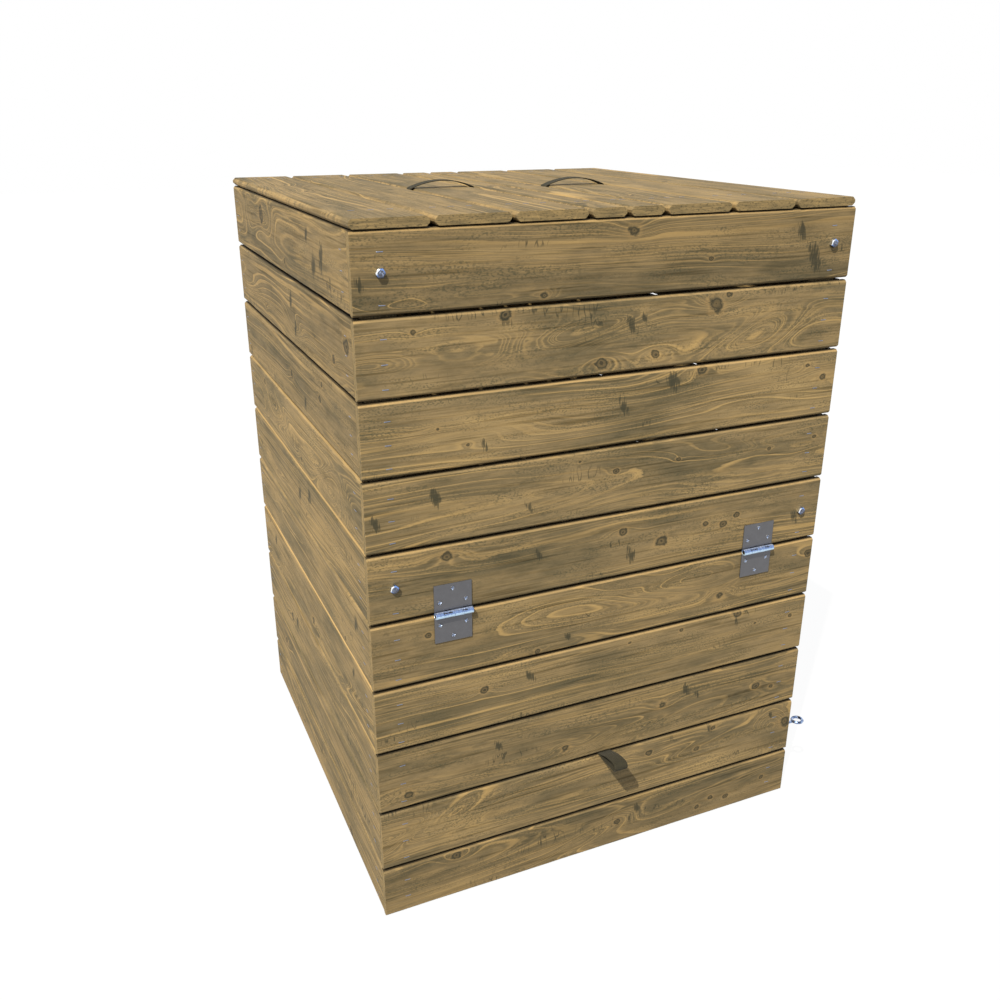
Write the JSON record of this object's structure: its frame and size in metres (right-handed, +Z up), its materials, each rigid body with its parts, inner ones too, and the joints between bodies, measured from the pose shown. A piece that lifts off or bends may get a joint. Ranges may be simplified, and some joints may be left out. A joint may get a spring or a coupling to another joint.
{
  "type": "wooden compost bin",
  "caption": "Slatted wooden garden compost bin with a hinged front flap, a hook-and-eye latch and a lift-off lid in halves with webbing handles.",
  "frame": {"origin": "bottom centre of the box around the whole bin, its side eyes and its front strap loop included, on the ground", "axes": "+Z up; -Y out of the front wall that holds the flap; +X to the right as seen from the front, where the hook and its eyes are"},
  "size_m": [0.7578, 0.7894, 1.0126],
  "materials": {
    "wall_wood": "planed softwood, brown-green preservative stain, matt",
    "frame_wood": "sawn softwood, brown-green preservative stain, matt",
    "zinc_steel": "bright zinc plated",
    "webbing": "flat woven webbing"
  },
  "bodies": {
    "bin": {"front_board_1": "wall_wood", "front_board_2": "wall_wood", "front_board_3": "wall_wood", "front_board_4": "wall_wood", "front_board_5": "wall_wood", "front_sill_board": "wall_wood", "left_wall_board_1": "wall_wood", "left_wall_board_2": "wall_wood", "left_wall_board_3": "wall_wood", "left_wall_board_4": "wall_wood", "left_wall_board_5": "wall_wood", "left_wall_board_6": "wall_wood", "left_wall_board_7": "wall_wood", "left_wall_board_8": "wall_wood", "left_wall_board_9": "wall_wood", "left_wall_board_10": "wall_wood", "right_wall_panel": "wall_wood", "back_wall_panel": "wall_wood", "corner_post_front_left": "frame_wood", "upper_front_batten_left": "frame_wood", "upper_front_batten_right": "frame_wood", "sill_block_left": "frame_wood", "sill_block_right": "frame_wood", "bolt_upper_left": "zinc_steel", "bolt_upper_right": "zinc_steel", "bolt_lower_left": "zinc_steel", "bolt_lower_right": "zinc_steel", "hinge_left_upper_leaf": "zinc_steel", "hinge_right_upper_leaf": "zinc_steel", "hinge_left_pin": "zinc_steel", "hinge_right_pin": "zinc_steel", "hook_screw_eye": "zinc_steel"},
    "flap": {"flap_board_1": "wall_wood", "flap_board_2": "wall_wood", "flap_board_3": "wall_wood", "flap_board_4": "wall_wood", "flap_batten_left": "frame_wood", "flap_batten_right": "frame_wood", "hinge_left_lower_leaf": "zinc_steel", "hinge_right_lower_leaf": "zinc_steel", "flap_strap_loop": "webbing", "flap_screw_eye": "zinc_steel"},
    "latch_hook": {"latch_hook": "zinc_steel"},
    "lid_left": {"lid_left_board_1": "wall_wood", "lid_left_board_2": "wall_wood", "lid_left_board_3": "wall_wood", "lid_left_board_4": "wall_wood", "lid_left_batten_front": "frame_wood", "lid_left_batten_rear": "frame_wood", "lid_left_strap_handle": "webbing"},
    "lid_right": {"lid_right_board_1": "wall_wood", "lid_right_board_2": "wall_wood", "lid_right_board_3": "wall_wood", "lid_right_board_4": "wall_wood", "lid_right_batten_front": "frame_wood", "lid_right_batten_rear": "frame_wood", "lid_right_strap_handle": "webbing"}
  },
  "joints": [
    {"name": "flap_hinge", "type": "hinge", "parent": "bin", "child": "flap", "pos_m": [0, -0.3466, 0.48725], "axis": [-1, 0, 0], "range_deg": [0, 165]},
    {"name": "latch_turn", "type": "hinge", "parent": "bin", "child": "latch_hook", "pos_m": [0.36765, -0.3049, 0.145], "axis": [1, 0, 0], "range_deg": [0, 163]},
    {"name": "lid_left_lift", "type": "slide", "parent": "bin", "child": "lid_left", "axis": [0, 0, 1], "range_m": [0, 0.3]},
    {"name": "lid_right_lift", "type": "slide", "parent": "bin", "child": "lid_right", "axis": [0, 0, 1], "range_m": [0, 0.3]}
  ]
}
